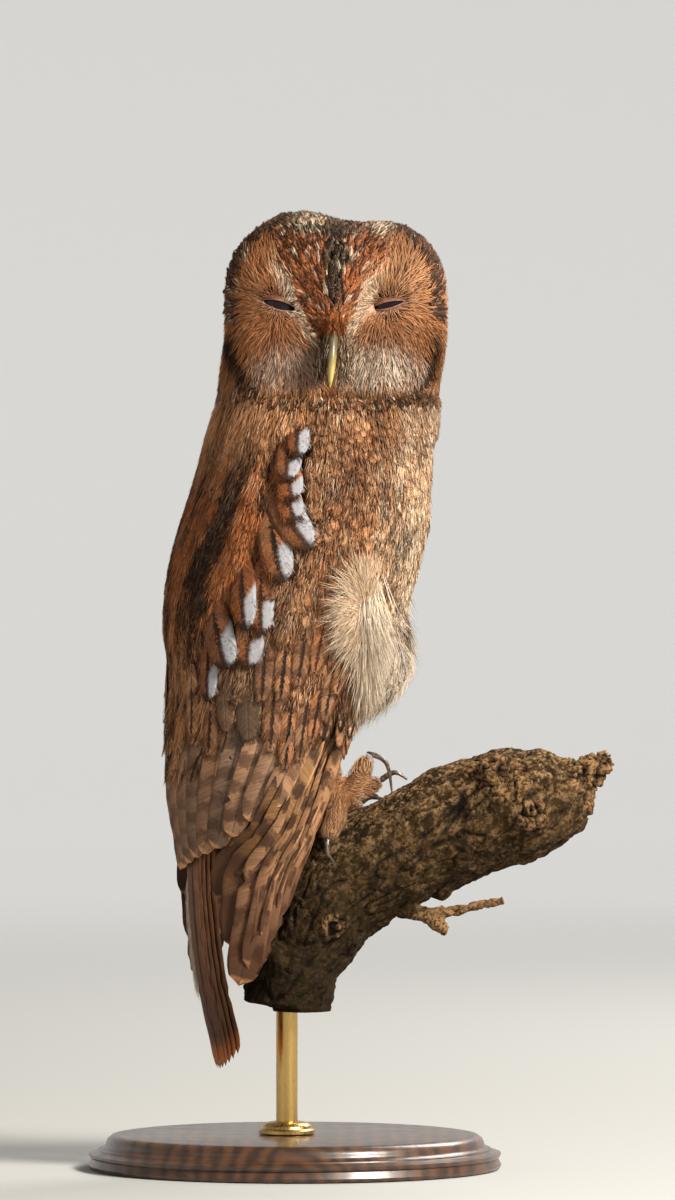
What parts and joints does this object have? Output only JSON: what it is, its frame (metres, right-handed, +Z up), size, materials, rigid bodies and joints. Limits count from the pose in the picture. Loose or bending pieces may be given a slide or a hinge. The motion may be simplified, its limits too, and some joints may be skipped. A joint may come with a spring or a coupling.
{
  "type": "tawny owl model",
  "caption": "Still life-size model of a roosting tawny owl, upright and squinting, on a cut branch held by a round display stand.",
  "frame": {"origin": "centre of the round base's underside", "axes": "+Z up; the bird's head looks along -Y, its breast points along +X turned 20 degrees towards +Y"},
  "size_m": [0.2449, 0.192, 0.4437],
  "materials": {
    "feather_brown": "matte feather",
    "feather_face": "matte feather",
    "feather_pale": "matte downy feather",
    "flight_barred": "matte barred feather",
    "bill_horn": "satin horn",
    "claw_horn": "satin horn",
    "eyelid": "matte skin",
    "eye_dark": "wet gloss",
    "bark": "rough bark",
    "stand_wood": "satin varnish",
    "stand_brass": "satin"
  },
  "bodies": {
    "root": {"bill_lower": "bill_horn", "bill_upper": "bill_horn", "claw_left_1": "claw_horn", "claw_left_2": "claw_horn", "claw_left_3": "claw_horn", "claw_left_4": "claw_horn", "claw_right_1": "claw_horn", "claw_right_2": "claw_horn", "claw_right_3": "claw_horn", "claw_right_4": "claw_horn", "eye_left": "eye_dark", "eye_right": "eye_dark", "eyelids_left": "eyelid", "eyelids_right": "eyelid", "foot_left": "feather_pale", "foot_right": "feather_pale", "head": "feather_face", "leg_left": "feather_pale", "leg_right": "feather_pale", "neck": "feather_brown", "perch_branch": "bark", "primaries_left": "flight_barred", "primaries_right": "flight_barred", "secondaries_left": "flight_barred", "secondaries_right": "flight_barred", "stand_base": "stand_wood", "stand_collar": "stand_brass", "stand_rod": "stand_brass", "tail": "flight_barred", "trunk": "feather_pale", "wing_left": "feather_brown", "wing_right": "feather_brown"}
  },
  "joints": []
}
